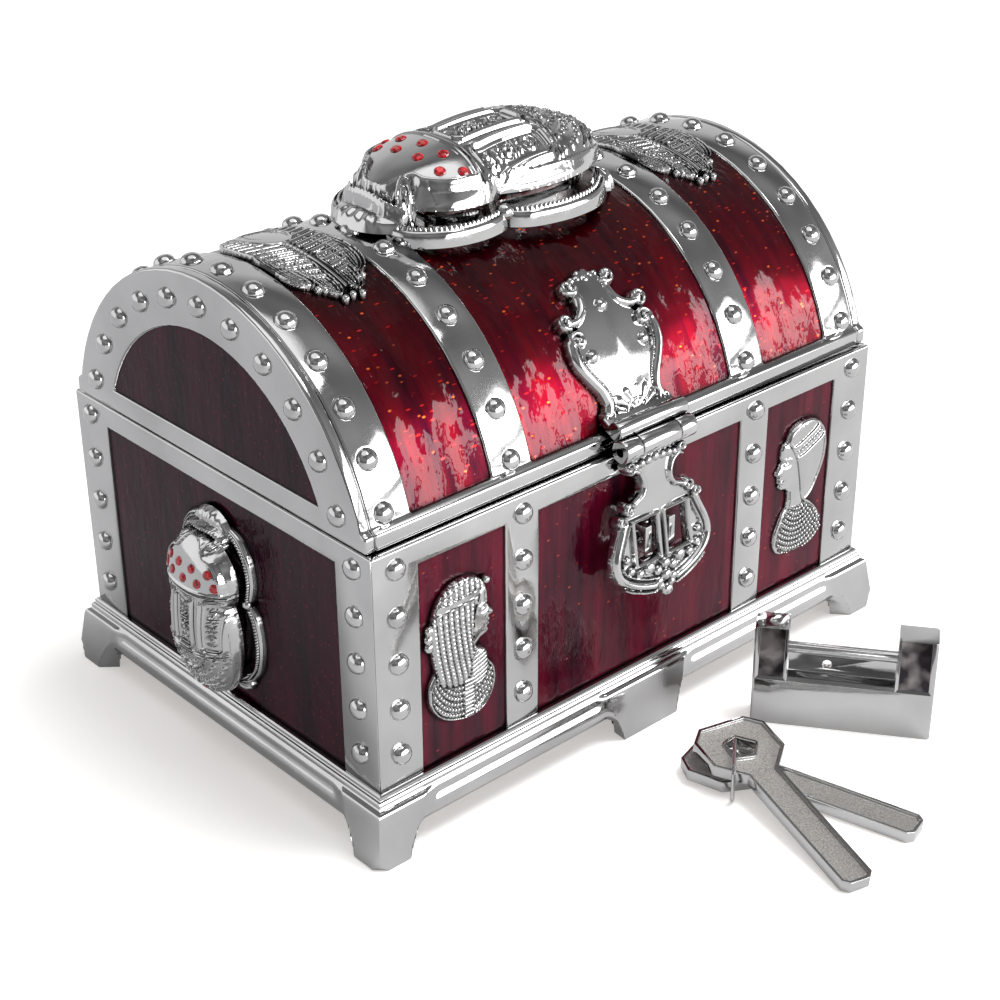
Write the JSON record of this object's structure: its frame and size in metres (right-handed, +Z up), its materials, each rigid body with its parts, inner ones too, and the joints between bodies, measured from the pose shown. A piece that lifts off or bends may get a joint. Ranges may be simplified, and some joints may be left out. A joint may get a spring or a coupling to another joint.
{
  "type": "treasure chest box",
  "caption": "Enamelled metal keepsake chest with a hinged barrel lid, beetle-shaped castings, stud straps, a swinging hasp with staple, a loose padlock and a pair of keys.",
  "frame": {"origin": "on the floor, under the middle of the box that holds the chest, padlock and keys, 39.5 mm in front of the middle of the chest", "axes": "+X to the right seen from the front, +Y to the back, +Z up"},
  "size_m": [0.1942, 0.2094, 0.1466],
  "materials": {
    "plated_casting": "polished dark nickel plating on zinc alloy",
    "enamel": "glossy deep red translucent enamel",
    "red_stone": "faceted red glass stone",
    "lining": "flocked lining",
    "steel": "bright steel"
  },
  "bodies": {
    "chest": {"back_studs": "plated_casting", "back_wall": "plated_casting", "base_screws": "steel", "body_hinge_leaves": "plated_casting", "enamel_back_centre": "enamel", "enamel_back_left": "enamel", "enamel_back_right": "enamel", "enamel_front_centre": "enamel", "enamel_front_left": "enamel", "enamel_front_right": "enamel", "enamel_left_end": "enamel", "enamel_right_end": "enamel", "floor_plate": "plated_casting", "front_studs": "plated_casting", "front_wall": "plated_casting", "hasp_staple": "plated_casting", "hinge_pins": "steel", "left_emblem": "plated_casting", "left_scarab": "plated_casting", "left_scarab_gems": "red_stone", "left_studs": "plated_casting", "left_wall": "plated_casting", "plinth_back": "plated_casting", "plinth_front": "plated_casting", "plinth_left": "plated_casting", "plinth_right": "plated_casting", "right_emblem": "plated_casting", "right_scarab": "plated_casting", "right_scarab_gems": "red_stone", "right_studs": "plated_casting", "right_wall": "plated_casting", "tray_lining": "lining"},
    "lid": {"enamel_lid_centre": "enamel", "enamel_lid_left": "enamel", "enamel_lid_left_end": "enamel", "enamel_lid_right": "enamel", "enamel_lid_right_end": "enamel", "hasp_pin": "steel", "hasp_plate": "plated_casting", "hasp_rivets": "plated_casting", "left_wing_emblem": "plated_casting", "lid_band_studs": "plated_casting", "lid_barrel": "plated_casting", "lid_hinge_leaves": "plated_casting", "lid_left_end": "plated_casting", "lid_left_studs": "plated_casting", "lid_lining": "lining", "lid_right_end": "plated_casting", "lid_right_studs": "plated_casting", "right_wing_emblem": "plated_casting", "top_scarab": "plated_casting", "top_scarab_gems": "red_stone"},
    "hasp": {"hasp_leaf": "plated_casting"},
    "padlock": {"padlock_body": "plated_casting"},
    "padlock_bolt": {"padlock_bolt": "steel"},
    "keys": {"lower_key": "plated_casting"},
    "upper_key": {"upper_key": "plated_casting", "key_wire": "steel"}
  },
  "joints": [
    {"name": "lid_hinge", "type": "hinge", "parent": "chest", "child": "lid", "pos_m": [0, 0.1017, 0.08015], "axis": [-1, 0, 0], "range_deg": [0, 105]},
    {"name": "hasp_swing", "type": "hinge", "parent": "lid", "child": "hasp", "pos_m": [0, -0.0237, 0.0822], "axis": [-1, 0, 0], "range_deg": [-9, 120]},
    {"name": "padlock_lift", "type": "slide", "parent": "chest", "child": "padlock", "axis": [0, 0, 1], "range_m": [0, 0.04]},
    {"name": "bolt_slide", "type": "slide", "parent": "padlock", "child": "padlock_bolt", "axis": [0.5934, -0.8049, 0], "range_m": [0, 0.0325]},
    {"name": "keys_lift", "type": "slide", "parent": "chest", "child": "keys", "axis": [0, 0, 1], "range_m": [0, 0.03]},
    {"name": "key_fan", "type": "hinge", "parent": "keys", "child": "upper_key", "pos_m": [0.0007, -0.0554, 0.006], "axis": [0, 0, -1], "range_deg": [0, 40]}
  ]
}
